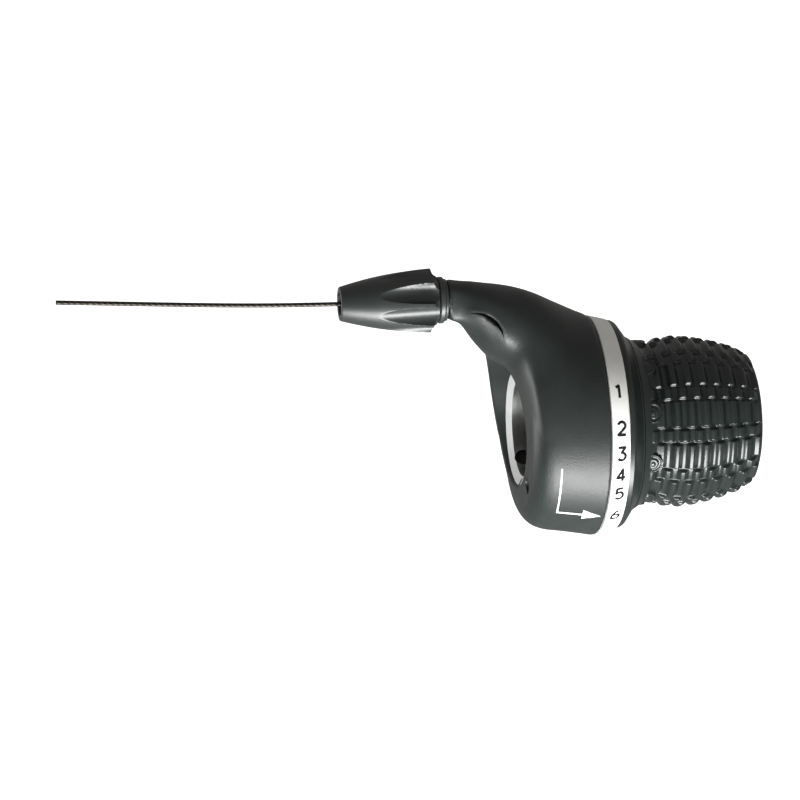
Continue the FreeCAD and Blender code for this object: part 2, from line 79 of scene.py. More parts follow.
def shade(piece, smooth_angle):
    """Smooth shading with edges sharper than the angle kept crisp."""
    work = bmesh.new()
    work.from_mesh(piece.data)
    bmesh.ops.recalc_face_normals(work, faces=work.faces)
    limit = math.radians(smooth_angle)
    for edge in work.edges:
        edge.smooth = not (edge.is_manifold and edge.calc_face_angle(0) > limit)
    for face in work.faces:
        face.smooth = True
    work.to_mesh(piece.data)
    work.free()


def grid_faces(rows, columns, wrap_rows=False):
    """Quads of a grid whose columns wrap round, and whose rows may too."""
    faces = []
    last = rows if wrap_rows else rows - 1
    for row in range(last):
        after = (row + 1) % rows
        for column in range(columns):
            beside = (column + 1) % columns
            faces.append((row * columns + column, row * columns + beside,
                          after * columns + beside, after * columns + column))
    return faces


def polar_point(x, radius, angle, centre=(0.0, 0.0)):
    """A point in metres at an angle about +X, measured from +Y towards +Z."""
    return (x, centre[0] + radius * math.cos(angle), centre[1] + radius * math.sin(angle))


def lathe(name, profile, body, centre=(0.0, 0.0), columns=128, radius_at=None, smooth_angle=35.0):
    """A closed ring turned from a closed (x, r) profile in mm; radius_at may change r by angle."""
    vertices = []
    for x, r in profile:
        for column in range(columns):
            angle = 2 * math.pi * column / columns
            radius = radius_at(x, r, angle) if radius_at else r
            vertices.append(polar_point(x * MM, radius * MM, angle, centre))
    faces = grid_faces(len(profile), columns, wrap_rows=True)
    return mesh_piece(name, vertices, faces, body, smooth_angle)


def smooth_step(value, low, high):
    """0 below low, 1 above high, smooth between."""
    t = np.clip((value - low) / (high - low), 0.0, 1.0)
    return t * t * (3 - 2 * t)


def curve_through(points, count):
    """A smooth line through (x, r) points, evenly sampled (Catmull-Rom)."""
    pts = np.array([points[0]] + list(points) + [points[-1]], float)
    spans = len(points) - 1
    out = []
    for sample in range(count):
        at = sample / (count - 1) * spans
        k = min(int(at), spans - 1)
        t = at - k
        p0, p1, p2, p3 = pts[k:k + 4]
        out.append(0.5 * (2 * p1 + (p2 - p0) * t + (2 * p0 - 5 * p1 + 4 * p2 - p3) * t ** 2
                          + (3 * p1 - p0 - 3 * p2 + p3) * t ** 3))
    return [tuple(p) for p in out]


# ---------------------------------------------------------------- materials

def new_material(name):
    """An empty node material with its shader and object coordinates."""
    material = bpy.data.materials.new(name)
    material.use_nodes = True
    tree = material.node_tree
    shader = tree.nodes["Principled BSDF"]
    coordinates = tree.nodes.new("ShaderNodeTexCoord")
    return material, tree, shader, coordinates.outputs["Object"]


def noise(tree, vector, scale, detail=3.0, roughness=0.5):
    """A noise texture's value."""
    node = tree.nodes.new("ShaderNodeTexNoise")
    node.inputs["Scale"].default_value = scale
    node.inputs["Detail"].default_value = detail
    node.inputs["Roughness"].default_value = roughness
    tree.links.new(vector, node.inputs["Vector"])
    return node.outputs["Fac"]


def ramp(tree, value, stops):
    """A colour ramp over (position, colour) stops."""
    node = tree.nodes.new("ShaderNodeValToRGB")
    elements = node.color_ramp.elements
    while len(elements) < len(stops):
        elements.new(0.5)
    for element, (position, colour) in zip(elements, stops):
        element.position = position
        element.color = (*colour, 1.0)
    tree.links.new(value, node.inputs["Fac"])
    return node.outputs["Color"]


def span(tree, value, low, high):
    """A 0..1 value mapped to low..high."""
    node = tree.nodes.new("ShaderNodeMapRange")
    node.inputs["To Min"].default_value = low
    node.inputs["To Max"].default_value = high
    tree.links.new(value, node.inputs["Value"])
    return node.outputs["Result"]


def bump(tree, shader, height, strength, distance, before=None):
    """A bump on the shader's normal, after an earlier one if given."""
    node = tree.nodes.new("ShaderNodeBump")
    node.inputs["Strength"].default_value = strength
    node.inputs["Distance"].default_value = distance
    tree.links.new(height, node.inputs["Height"])
    if before is not None:
        tree.links.new(before, node.inputs["Normal"])
    tree.links.new(node.outputs["Normal"], shader.inputs["Normal"])
    return node.outputs["Normal"]


def moulded(name, dark, light, rough_low, rough_high, grain=2600.0, grain_depth=0.35, specular=0.5):
    """Moulded plastic or rubber: faint mottling, uneven gloss and a fine skin grain."""
    material, tree, shader, place = new_material(name)
    shader.inputs["Specular IOR Level"].default_value = specular
    mottle = noise(tree, place, 90.0, 4.0, 0.6)
    tree.links.new(ramp(tree, mottle, [(0.35, dark), (0.7, light)]), shader.inputs["Base Color"])
    gloss = noise(tree, place, 240.0, 3.0, 0.55)
    tree.links.new(span(tree, gloss, rough_low, rough_high), shader.inputs["Roughness"])
    skin = noise(tree, place, grain, 2.0, 0.6)
    bump(tree, shader, skin, grain_depth, 0.00005)
    return material


def metal(name, colour, dull, rough_low, rough_high, streak_axis=None, streaks=900.0, depth=0.25):
    """Bare metal, with turning or drawing marks stretched across one axis."""
    material, tree, shader, place = new_material(name)
    shader.inputs["Metallic"].default_value = 1.0
    vector = place
    if streak_axis is not None:
        mapping = tree.nodes.new("ShaderNodeMapping")
        scale = [0.06, 0.06, 0.06]
        scale[streak_axis] = 1.0
        mapping.inputs["Scale"].default_value = scale
        tree.links.new(place, mapping.inputs["Vector"])
        vector = mapping.outputs["Vector"]
    marks = noise(tree, vector, streaks, 3.0, 0.6)
    stain = noise(tree, place, 160.0, 4.0, 0.6)
    tree.links.new(ramp(tree, stain, [(0.3, dull), (0.65, colour)]), shader.inputs["Base Color"])
    tree.links.new(span(tree, marks, rough_low, rough_high), shader.inputs["Roughness"])
    bump(tree, shader, marks, depth, 0.00004)
    return material


def stranded_wire():
    """Fine twisted strands: a spiral wave along the wire, dark between the strands."""
    material, tree, shader, place = new_material("wire_steel")
    shader.inputs["Metallic"].default_value = 1.0
    wave = tree.nodes.new("ShaderNodeTexWave")
    wave.bands_direction = "DIAGONAL"
    wave.inputs["Scale"].default_value = 480.0
    wave.inputs["Distortion"].default_value = 0.0
    tree.links.new(place, wave.inputs["Vector"])
    strands = wave.outputs["Fac"]
    tree.links.new(ramp(tree, strands, [(0.1, (0.03, 0.027, 0.024)), (0.8, (0.07, 0.064, 0.056))]),
                   shader.inputs["Base Color"])
    tree.links.new(span(tree, noise(tree, place, 700.0), 0.3, 0.5), shader.inputs["Roughness"])
    bump(tree, shader, strands, 0.6, 0.00006)
    return material


def make_materials():
    """Every finish by slot name."""
    return {
        "housing_plastic": moulded("housing_plastic", (0.009, 0.013, 0.0117), (0.014, 0.0195, 0.0175),
                                   0.4, 0.5, grain_depth=0.8),
        "carrier_plastic": moulded("carrier_plastic", (0.008, 0.0115, 0.0105), (0.013, 0.018, 0.0165),
                                   0.28, 0.38, grain=1800.0, grain_depth=0.2),
        "knob_plastic": moulded("knob_plastic", (0.011, 0.016, 0.0145), (0.018, 0.0245, 0.022), 0.36, 0.46,
                                specular=0.8),
        "grip_rubber": moulded("grip_rubber", (0.008, 0.012, 0.0108), (0.013, 0.018, 0.0165), 0.24, 0.34,
                               grain=1500.0, grain_depth=0.22),
        "ring_plastic": moulded("ring_plastic", (0.74, 0.74, 0.72), (0.84, 0.84, 0.82), 0.3, 0.42,
                                grain=1500.0, grain_depth=0.1),
        "nylon": moulded("nylon", (0.68, 0.67, 0.6), (0.8, 0.79, 0.73), 0.4, 0.5),
        "print_white": moulded("print_white", (0.78, 0.78, 0.77), (0.88, 0.88, 0.87), 0.45, 0.6),
        "print_black": moulded("print_black", (0.01, 0.01, 0.011), (0.02, 0.02, 0.021), 0.7, 0.8,
                               specular=0.06),
        # Near black: partly black-oxide steel, partly painted shade for the dark of the clamp screw's hole.
        "black_steel_and_painted_shade": metal("black_steel_and_painted_shade", (0.05, 0.05, 0.052), (0.03, 0.03, 0.032), 0.4, 0.5),
        "sleeve_metal": metal("sleeve_metal", (0.5, 0.51, 0.49), (0.3, 0.31, 0.3), 0.22, 0.42, 0),
        # The lip's light grey is a painted highlight standing for the glint of the turned metal bevel.
        "sleeve_lip_painted_highlight": moulded("sleeve_lip_painted_highlight", (0.6, 0.61, 0.6), (0.76, 0.77, 0.76), 0.3, 0.45, grain_depth=0.1),
        "steel": metal("steel", (0.55, 0.56, 0.57), (0.38, 0.39, 0.4), 0.28, 0.42),
        "spring_steel": metal("spring_steel", (0.4, 0.41, 0.43), (0.26, 0.27, 0.29), 0.25, 0.4),
        "brass": metal("brass", (0.78, 0.58, 0.28), (0.55, 0.4, 0.18), 0.25, 0.4, 0),
        "wire_steel": stranded_wire(),
    }


def paint(piece, material):
    """One material over the whole piece."""
    piece.data.materials.clear()
    piece.data.materials.append(material)


# ---------------------------------------------------------------- housing

REMESH_VOXEL = 0.3 * MM
RELAX_STEP = 0.6
EDGE_PASSES = 3
CREASE_PASSES = 30
HORN_PASSES = 140

# The crescent recess in mm: its ends and the middle of its arc as (x, z), half its width, and its depth
RECESS_TIP = (-13.15, 26.25)
RECESS_MIDDLE = (-8.4, 24.9)
RECESS_HEEL = (-5.6, 20.3)
RECESS_HALF = 0.38
RECESS_FLOOR_Y = -16.8
RECESS_FRONT_Y = -30.0

# The drum's outline in mm: its outboard edge, and its rounded inboard corner with the arc's centre
DRUM_EDGE = HOUSING_END / MM - 0.4
DRUM_R = 25.4
CORNER_X, CORNER_R = 6.0, 23.6
CORNER_CENTRE_X, CORNER_CENTRE_R, CORNER_ARC_R = 6.274, 17.262, 6.344


def applied(piece):
    """Replaces a piece's mesh with what its modifiers make."""
    depsgraph = bpy.context.evaluated_depsgraph_get()
    mesh = bpy.data.meshes.new_from_object(piece.evaluated_get(depsgraph))
    piece.modifiers.clear()
    piece.data = mesh


def relax(mesh, weights, passes):
    """Laplacian smoothing by vertex weight, which rounds creases into moulded fillets."""
    count = len(mesh.vertices)
    places = np.zeros(count * 3)
    mesh.vertices.foreach_get("co", places)
    places = places.reshape(-1, 3)
    ends = np.zeros(len(mesh.edges) * 2, int)
    mesh.edges.foreach_get("vertices", ends)
    first, second = ends[0::2], ends[1::2]
    degree = np.bincount(first, minlength=count) + np.bincount(second, minlength=count)
    for _ in range(passes):
        total = np.zeros_like(places)
        for axis in range(3):
            total[:, axis] = (np.bincount(first, places[second, axis], count)
                              + np.bincount(second, places[first, axis], count))
        places += weights[:, None] * RELAX_STEP * (total / degree[:, None] - places)
    mesh.vertices.foreach_set("co", places.ravel())
    mesh.update()


def arc_through(start, middle, end, steps):
    """Points along the circle's arc from start over middle to end."""
    (ax, ay), (bx, by), (cx, cy) = start, middle, end
    scale = 2 * (ax * (by - cy) + bx * (cy - ay) + cx * (ay - by))
    a2, b2, c2 = ax ** 2 + ay ** 2, bx ** 2 + by ** 2, cx ** 2 + cy ** 2
    ux = (a2 * (by - cy) + b2 * (cy - ay) + c2 * (ay - by)) / scale
    uy = (a2 * (cx - bx) + b2 * (ax - cx) + c2 * (bx - ax)) / scale
    radius = math.hypot(ax - ux, ay - uy)
    first, last = math.atan2(ay - uy, ax - ux), math.atan2(cy - uy, cx - ux)
    turns = [first + (last - first) * step / steps for step in range(steps + 1)]
    return [(ux + radius * math.cos(turn), uy + radius * math.sin(turn)) for turn in turns]


def cut_recess(piece):
    """The thin crescent recess on the horn's front, cut crisp into the smoothed shell."""
    away = Vector((RECESS_MIDDLE[0] - (RECESS_TIP[0] + RECESS_HEEL[0]) / 2,
                   RECESS_MIDDLE[1] - (RECESS_TIP[1] + RECESS_HEEL[1]) / 2)).normalized() * RECESS_HALF
    upper = (RECESS_MIDDLE[0] + away.x, RECESS_MIDDLE[1] + away.y)
    lower = (RECESS_MIDDLE[0] - away.x, RECESS_MIDDLE[1] - away.y)
    outline = arc_through(RECESS_TIP, upper, RECESS_HEEL, 20)
    outline += arc_through(RECESS_HEEL, lower, RECESS_TIP, 20)[1:-1]
    count = len(outline)
    vertices = [(x * MM, y * MM, z * MM) for y in (RECESS_FRONT_Y, RECESS_FLOOR_Y) for x, z in outline]
    faces = [tuple(range(count)), tuple(range(2 * count - 1, count - 1, -1))]
    faces += [(k, (k + 1) % count, count + (k + 1) % count, count + k) for k in range(count)]
    cutter = mesh_piece("recess_cutter", vertices, faces, "housing")
    cut = piece.modifiers.new("recess", "BOOLEAN")
    cut.operation = "DIFFERENCE"
    cut.solver = "EXACT"
    cut.object = cutter
    applied(piece)
    bpy.data.objects.remove(cutter)


def housing():
    """The moulded shell: the CAD solid with its creases rounded as a mould leaves them."""
    piece = bpy.data.objects.new("housing", NODES["housing_shell"].data.copy())
    bpy.context.scene.collection.objects.link(piece)
    remesh = piece.modifiers.new("remesh", "REMESH")
    remesh.mode = "VOXEL"
    remesh.voxel_size = REMESH_VOXEL
    applied(piece)
    mesh = piece.data
    places = np.zeros(len(mesh.vertices) * 3)
    mesh.vertices.foreach_get("co", places)
    x, y, z = places.reshape(-1, 3).T / MM
    radius = np.hypot(y, z)
    relax(mesh, np.ones(len(x)), EDGE_PASSES)
    short_of_edge = 1 - smooth_step(x, DRUM_EDGE - 2.5, DRUM_EDGE - 0.8)
    outer_drum = smooth_step(x, 0.5, 2.5) * short_of_edge * smooth_step(radius, 22.4, 23.0)
    relax(mesh, outer_drum, CREASE_PASSES)
    rim = np.array(arc_through(RECESS_TIP, RECESS_MIDDLE, RECESS_HEEL, 24))
    from_recess = np.min(np.hypot(x[:, None] - rim[:, 0], z[:, None] - rim[:, 1]), axis=1)
    clear_of_recess = np.maximum(smooth_step(from_recess, 0.7, 2.0), smooth_step(y, -8.0, -4.0))
    horn = (smooth_step(x, -16.6, -15.0) * short_of_edge * smooth_step(z, 8.0, 13.0)
            * smooth_step(radius, 15.5, 17.5) * clear_of_recess)
    relax(mesh, horn, HORN_PASSES)
    cut_recess(piece)
    shade(piece, 50.0)
    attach(piece, "housing")
    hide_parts("housing_shell")
    return piece


# ---------------------------------------------------------------- clamp sleeve

LIP_R = 13.1
LIP_LENGTH = 1.05
LIP_OVERCUT = 0.5
LIP_FACING = -0.3
BORE_R = 11.15
CUTTER_CORE_R = 0.01


def clamp_sleeve(inside, lip):
    """The metal sleeve; the bevel turned on its inboard lip gets a light grey painted highlight for the
    metal's glint.
    """
    piece = bpy.data.objects.new("sleeve", NODES["clamp_sleeve"].data.copy())
    bpy.context.scene.collection.objects.link(piece)
    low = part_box("clamp_sleeve")[0][0] / MM
    slope = (LIP_R - BORE_R) / LIP_LENGTH
    start, end = low - LIP_OVERCUT, low + LIP_LENGTH
    profile = [(start, CUTTER_CORE_R), (start, LIP_R + LIP_OVERCUT * slope), (end, BORE_R),
               (end, CUTTER_CORE_R)]
    cutter = lathe("lip_cutter", profile, "housing", columns=192)
    cut = piece.modifiers.new("lip", "BOOLEAN")
    cut.operation = "DIFFERENCE"
    cut.solver = "EXACT"
    cut.object = cutter
    applied(piece)
    bpy.data.objects.remove(cutter)
    shade(piece, 30.0)
    paint(piece, inside)
    # The lip's faces take the painted highlight.
    piece.data.materials.append(lip)
    for face in piece.data.polygons:
        face.material_index = int(face.center.x / MM < end and face.normal.x < LIP_FACING)
    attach(piece, "housing")
    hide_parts("clamp_sleeve")
    return piece


# ---------------------------------------------------------------- printed marks

MARK_LIFT = 0.05
MARK_SINK = 0.06
ARC_R = 24.0


def surface_strip(name, outline, radius_of_x, lift, body, cell=0.35):
    """A thin printed shape on a round surface, cut into cells so that it bends. outline is a closed list
    of (x, arc) points in mm, where arc is the way down the front, from straight ahead, at radius ARC_R."""
    work = bmesh.new()
    corners = [work.verts.new((x, arc, 0)) for x, arc in outline]
    work.faces.new(corners)
    xs = [p[0] for p in outline]
    arcs = [p[1] for p in outline]
    for axis, low, high in ((0, min(xs), max(xs)), (1, min(arcs), max(arcs))):
        at = low + cell
        while at < high:
            normal = (1, 0, 0) if axis == 0 else (0, 1, 0)
            place = (at, 0, 0) if axis == 0 else (0, at, 0)
            geometry = work.verts[:] + work.edges[:] + work.faces[:]
            bmesh.ops.bisect_plane(work, geom=geometry, plane_co=place, plane_no=normal)
            at += cell
    result = bmesh.ops.extrude_face_region(work, geom=work.faces[:])
    for element in result["geom"]:
        if isinstance(element, bmesh.types.BMVert):
            element.co.z = -1.0
    for vertex in work.verts:
        x, arc, depth = vertex.co
        radius = radius_of_x(x)
        angle = math.pi + arc / ARC_R
        height = radius + (lift if depth == 0.0 else -MARK_SINK)
        vertex.co = Vector(polar_point(x * MM, height * MM, angle))
    bmesh.ops.recalc_face_normals(work, faces=work.faces)
    mesh = bpy.data.meshes.new(name)
    work.to_mesh(mesh)
    work.free()
    piece = bpy.data.objects.new(name, mesh)
    bpy.context.scene.collection.objects.link(piece)
    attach(piece, body)
    return piece


def housing_radius(x):
    """The drum's outer radius in mm along x."""
    if x < CORNER_X:
        return CORNER_CENTRE_R + math.sqrt(CORNER_ARC_R ** 2 - (CORNER_CENTRE_X - x) ** 2)
    return CORNER_R + (x - CORNER_X) * (DRUM_R - CORNER_R) / (DRUM_EDGE - CORNER_X)


def arrow_marks():
    """The printed pointer: a line down the housing, then across to an arrow head at the number ring."""
    left, right, tip = 5.7, 11.6, 15.7
    top, bar = 9.9, 23.3
    line, thick, head = 0.34, 0.5, 1.65
    stem = [(left, top), (left + line, top), (left + line, bar - thick), (right, bar - thick),
            (right, bar), (left, bar)]
    middle = bar - thick / 2
    point = [(right, middle - head), (tip, middle), (right, middle + head)]
    return [surface_strip("arrow_line", stem, housing_radius, MARK_LIFT, "housing"),
            surface_strip("arrow_head", point, housing_radius, MARK_LIFT, "housing")]


# ---------------------------------------------------------------- number ring

RING_START = RING_LOW[0] / MM
RING_END = RING_HIGH[0] / MM
RING_BORE_R = 22.5
RING_TOP_R = 25.3
RING_TOP_OFFSET = 0.25
RING_FALL = 1.0
RING_EDGE = 0.28

# Each gear number and its place round the ring, in degrees down from straight ahead
GEAR_ARCS = ((1, -17.2), (2, 2.2), (3, 15.6), (4, 27.6), (5, 39.2), (6, 56.2))
DIGIT_X = 19.05
DIGIT_HEIGHT = 2.95
DIGIT_WIDTH = 1.95
STROKE_WIDTH = 0.6
STROKE_LIFT = 0.05


def ring_radius(x):
    """The number ring's outer radius in mm along x."""
    along = (x - RING_START - RING_TOP_OFFSET) / (RING_END - RING_START - RING_TOP_OFFSET)
    return RING_TOP_R - RING_FALL * along


def number_ring():
    """The white ring with small rounded edges."""
    start, end = RING_START, RING_END
    profile = [(start, RING_BORE_R), (start, ring_radius(start) - 0.3),
               (start + 0.08, ring_radius(start) - 0.1)]
    for step in range(9):
        x = start + RING_EDGE + (end - start - 2 * RING_EDGE) * step / 8
        profile.append((x, ring_radius(x)))
    profile += [(end - 0.08, ring_radius(end) - 0.08), (end, ring_radius(end) - 0.3), (end, RING_BORE_R)]
    ring = lathe("number_ring", profile, "grip", columns=256)
    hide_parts("indicator_ring")
    return ring


def arc(middle_x, middle_y, reach_x, reach_y, start, end, steps=14):
    """Points along part of an ellipse, in degrees anticlockwise."""
    points = []
    for step in range(steps + 1):
        turn = math.radians(start + (end - start) * step / steps)
        points.append((middle_x + reach_x * math.cos(turn), middle_y + reach_y * math.sin(turn)))
    return points


# Each numeral's pen path in a box one wide and one high about its middle
NUMERALS = {
    1: [(-0.38, 0.32), (0.02, 0.5), (0.02, -0.5)],
    2: arc(0, 0.21, 0.45, 0.29, 165, -35) + [(-0.48, -0.5), (0.5, -0.5)],
    3: [(-0.45, 0.5), (0.43, 0.5), (-0.06, 0.1)] + arc(-0.03, -0.2, 0.48, 0.3, 75, -150),
    4: [(0.2, -0.5), (0.2, 0.5), (-0.5, -0.2), (0.5, -0.2)],
    5: [(0.42, 0.5), (-0.33, 0.5), (-0.4, 0.06)] + arc(0, -0.18, 0.46, 0.32, 130, -150),
    6: arc(0.42, -0.2, 0.88, 0.72, 100, 180) + arc(0, -0.2, 0.46, 0.3, 180, -180, 24),
}


def finely(path, step=0.08):
    """The same path with its straight runs cut short, so that they can bend round the ring."""
    fine = [path[0]]
    for (x0, y0), (x1, y1) in zip(path, path[1:]):
        pieces = max(1, math.ceil(math.hypot(x1 - x0, y1 - y0) / step))
        fine += [(x0 + (x1 - x0) * k / pieces, y0 + (y1 - y0) * k / pieces) for k in range(1, pieces + 1)]
    return fine


def digit(number, degrees):
    """One printed gear number: strokes inlaid in the ring's surface that follow its curve."""
    curve = bpy.data.curves.new(f"gear_number_{number}", "CURVE")
    curve.dimensions = "3D"
    curve.bevel_depth = (STROKE_LIFT ** 2 + (STROKE_WIDTH / 2) ** 2) / (2 * STROKE_LIFT) * MM
    curve.bevel_resolution = 5
    curve.use_fill_caps = True
    path = finely(NUMERALS[number])
    spline = curve.splines.new("POLY")
    spline.points.add(len(path) - 1)
    for point, (across, up) in zip(spline.points, path):
        x = DIGIT_X + across * DIGIT_WIDTH
        radius = ring_radius(x) + STROKE_LIFT - curve.bevel_depth / MM
        angle = math.pi + math.radians(degrees) - up * DIGIT_HEIGHT / ring_radius(x)
        point.co = (*polar_point(x * MM, radius * MM, angle), 1.0)
    piece = bpy.data.objects.new(f"gear_number_{number}", curve)
    bpy.context.scene.collection.objects.link(piece)
    curve.materials.append(bpy.data.materials["print_black"])
    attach(piece, "grip")
    return piece


# ---------------------------------------------------------------- rubber grip

GRIP_PROFILE = [(25.8, 20.1), (27.6, 19.0), (29.6, 17.75), (31.2, 17.9), (33.4, 18.6), (37.0, 19.0),
                (41.5, 18.6), (46.5, 17.5), (50.7, 16.2), (53.0, 15.0), (54.2, 14.2)]
GRIP_BORE_R = 14.6
GRIP_INSIDE = [(54.45, 14.05), (54.62, 13.75), (54.68, 13.45), (54.6, 13.2), (52.0, 13.15), (52.0, 13.95),
               (48.0, GRIP_BORE_R)]
GRIP_COLUMNS = 720
GRIP_ROW_STEP = 0.17

# The tread: ribs along x, in bands round the grip; pairs are where a slope starts and ends
RIB_PITCH = 3.42
RIB_CENTRE = 36.85
RIB_DEPTH = 0.85
RIB_SIDE = (0.07, 0.45)
BAND_PERIOD = 30.0
LONG_BAND = 20.0
BAND_TURN = 15.2
BAND_SIDE = (0.15, 1.6)
TREAD_START = (27.2, 28.2)
TREAD_FULL = (28.6, 30.6)
TREAD_END = (54.0, 54.7)

# The round bosses in the neck
BOSS_X = 27.9
BOSS_R = 2.4
BOSS_EDGE = 0.25
BOSS_TOP = 19.2
BOSS_STEP = 36.0
BOSS_TURN = -6.5
BOSS_ARC_R = 18.6
GROOVE_INSIDE = (1.15, 1.35)
GROOVE_OUTSIDE = (1.75, 1.95)
GROOVE_DEPTH = 0.28
PIP_SIDE = (0.35, 0.6)
PIP_HEIGHT = 0.2


def base_radius(x):
    """The rubber's radius under the tread."""
    xs = [p[0] for p in GRIP_PROFILE]
    rs = [p[1] for p in GRIP_PROFILE]
    return np.interp(x, xs, rs)


def tread_height(x, degrees):
    """Height of the tread: rounded ribs in long and short bands that are half a pitch apart."""
    phase = (degrees - BAND_TURN) % BAND_PERIOD
    in_long = phase < LONG_BAND
    band_width = np.where(in_long, LONG_BAND, BAND_PERIOD - LONG_BAND)
    from_top = np.where(in_long, phase, phase - LONG_BAND)
    from_low = band_width - from_top
    ends = smooth_step(from_top, *BAND_SIDE) * smooth_step(from_low, *BAND_SIDE)
    offset = np.where(in_long, 0.0, 0.5)
    from_centre = np.abs(((x - RIB_CENTRE) / RIB_PITCH + offset + 0.5) % 1.0 - 0.5)
    rib = 1 - smooth_step(from_centre, *RIB_SIDE)
    fade = (smooth_step(x, *TREAD_START) * (0.5 + 0.5 * smooth_step(x, *TREAD_FULL))
            * (1 - smooth_step(x, *TREAD_END)))
    return RIB_DEPTH * rib * ends * fade


def boss_height(x, degrees, radius):
    """Height of the round bosses in the neck, with a groove and a centre pip."""
    step = (degrees - BOSS_TURN + BOSS_STEP / 2) % BOSS_STEP - BOSS_STEP / 2
    across = np.radians(step) * BOSS_ARC_R
    distance = np.hypot(x - BOSS_X, across)
    disc = 1 - smooth_step(distance, BOSS_R - BOSS_EDGE, BOSS_R)
    groove = smooth_step(distance, *GROOVE_INSIDE) * (1 - smooth_step(distance, *GROOVE_OUTSIDE))
    pip = 1 - smooth_step(distance, *PIP_SIDE)
    top = BOSS_TOP - GROOVE_DEPTH * groove + PIP_HEIGHT * pip
    return disc * np.maximum(top - radius, 0.0)


def rubber_grip():
    """The moulded rubber: a waisted sleeve with staggered tread blocks and round bosses."""
    start, end = GRIP_PROFILE[0][0], GRIP_PROFILE[-1][0]
    xs = list(np.arange(start, end, GRIP_ROW_STEP)) + [end]
    degrees = np.arange(GRIP_COLUMNS) * 360.0 / GRIP_COLUMNS
    rows = []
    for x in xs:
        base = base_radius(x)
        down = (degrees - 180.0) % 360.0
        height = np.maximum(tread_height(x, down), boss_height(x, down, base))
        rows.append((x, base + height))
    for x, r in GRIP_INSIDE + [(start, GRIP_BORE_R)]:
        rows.append((x, np.full(GRIP_COLUMNS, r)))
    angles = np.radians(degrees)
    vertices = []
    for x, radii in rows:
        for radius, angle in zip(radii, angles):
            vertices.append(polar_point(x * MM, radius * MM, angle))
    piece = mesh_piece("rubber_grip", vertices, grid_faces(len(rows), GRIP_COLUMNS, wrap_rows=True),
                       "grip", 60.0)
    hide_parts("grip_rubber")
    return piece


# ---------------------------------------------------------------- barrel adjuster

BARREL_START = BARREL_LOW[0] / MM
BARREL_END = BARREL_HIGH[0] / MM
BARREL_CREST = BARREL_END - 1.35
BARREL_CENTRE = (HORN_Y, HORN_Z)
BARREL_R = 7.28
BARREL_COLUMNS = 720

# The flutes in mm: their own radius, where they start, and a floor that falls towards the collar.
# Nothing within the core's radius is scooped.
FLUTES = 8
FLUTE_R = 2.6
FLUTE_ANGLE = math.radians(33.5)
FLUTE_START = BARREL_START + 3
FLUTE_FLOOR_START = BARREL_START + 6.3
FLUTE_FLOOR_R = 6.0
FLUTE_FLOOR_FALL = 0.95 / 16.75
FLUTE_FLOOR_LEAST_R = 4.7
KNOB_CORE_R = 3.4

# The holes through the barrel in mm: casing socket, wire hole, stem hole and collar spring's pocket
SOCKET_R = 2.55
SOCKET_DEPTH = 7.7
WIRE_HOLE_R = 1.15
STEM_HOLE_R = 2.5
STEM_HOLE_END = -33.1
POCKET_R = 4.32
POCKET_END = -26.45
COLLAR_BORE_R = 2.6


def barrel_radius(x, r, angle):
    """The knob's radius, scooped by round flutes that deepen towards the collar."""
    if r < KNOB_CORE_R or x < FLUTE_START:
        return r
    floor = FLUTE_FLOOR_R - FLUTE_FLOOR_FALL * (x - FLUTE_FLOOR_START)
    axis = floor + FLUTE_R
    pitch = 2 * math.pi / FLUTES
    turn = (angle - FLUTE_ANGLE + pitch / 2) % pitch - pitch / 2
    reach = FLUTE_R ** 2 - (axis * math.sin(turn)) ** 2
    if reach <= 0:
        return r
    return min(r, max(axis * math.cos(turn) - math.sqrt(reach), FLUTE_FLOOR_LEAST_R))


def barrel():
    """The fluted adjusting knob with its casing socket."""
    start, end, crest = BARREL_START, BARREL_END, BARREL_CREST
    outer = curve_through([(start + 0.2, 3.9), (start + 3.4, 4.75), (start + 7.4, 5.65), (start + 11.4, 6.33),
                           (start + 15.4, 6.85), (start + 18.4, 7.15), (crest - 0.12, BARREL_R)], 60)
    neck = curve_through([(crest + 0.06, 7.16), (crest + 0.22, 6.65), (crest + 0.5, 6.1), (crest + 0.9, 5.7),
                          (end - 0.05, 5.5)], 14)
    profile = [(start + 0.1, 2.62), (start, 2.75), (start, 3.7), (start + 0.07, 3.82)] + outer
    profile += [(crest, BARREL_R)] + neck
    profile += [(end, 5.4), (end, POCKET_R + 0.05), (end - 0.1, POCKET_R), (POCKET_END, POCKET_R),
                (POCKET_END, STEM_HOLE_R), (STEM_HOLE_END, STEM_HOLE_R), (STEM_HOLE_END, WIRE_HOLE_R),
                (start + SOCKET_DEPTH, WIRE_HOLE_R), (start + SOCKET_DEPTH, SOCKET_R)]
    knob = lathe("barrel", profile, "adjuster", BARREL_CENTRE, BARREL_COLUMNS,
                 barrel_radius, 32.0)
    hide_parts("barrel_adjuster")
    return knob


def collar():
    """The click collar: a ring that steps down towards the horn."""
    low, high = COLLAR_LOW[0] / MM, COLLAR_HIGH[0] / MM
    profile = [(low, COLLAR_BORE_R), (low, 4.9), (low + 0.12, 5.15), (low + 0.35, 5.3), (low + 1.1, 5.28),
               (low + 1.3, 5.15), (low + 1.42, 4.9), (low + 1.5, 4.78), (high - 0.1, 4.76), (high, 4.7),
               (high, COLLAR_BORE_R)]
    ring = lathe("collar", profile, "adjuster_carrier", BARREL_CENTRE, smooth_angle=30.0)
    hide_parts("click_collar")
    return ring


# ---------------------------------------------------------------- shift wire

WIRE_DIAMETER = 1.0 * MM
WIRE_RISES = (0.0, 0.15, 0.5, 1.0, 1.6, 2.2, 2.8)


